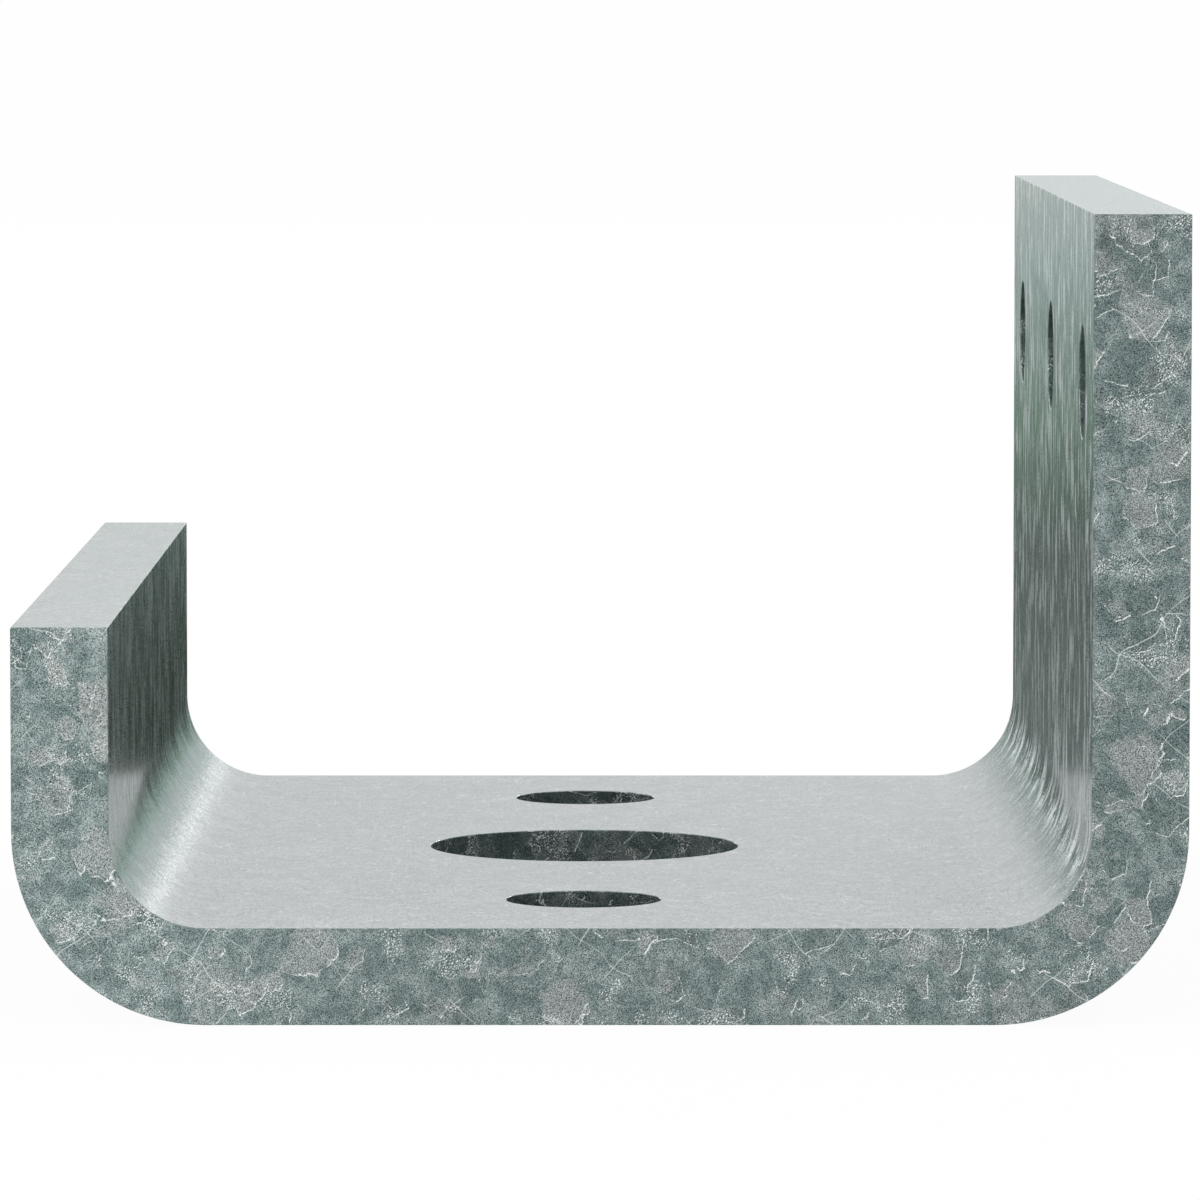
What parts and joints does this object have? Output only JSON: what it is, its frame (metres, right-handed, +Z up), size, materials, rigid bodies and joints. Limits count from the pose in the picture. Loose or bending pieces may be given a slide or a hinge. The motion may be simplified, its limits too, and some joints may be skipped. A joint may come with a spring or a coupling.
{
  "type": "knee wall stiffener",
  "caption": "Folded galvanised steel channel with one short and one tall leg, punched for an anchor and screws, that stiffens a knee wall's base connection.",
  "frame": {"origin": "centre of the anchor hole in the underside of the base", "axes": "+X towards the tall leg, +Y along the channel, +Z up through the anchor hole and out of the channel's open side"},
  "size_m": [0.055, 0.0762, 0.0379],
  "materials": {
    "galvanised_steel": "hot-dip galvanised, dull spangle of grey and blue-green flakes"
  },
  "bodies": {
    "root": {"stiffener_plate": "galvanised_steel"}
  },
  "joints": []
}
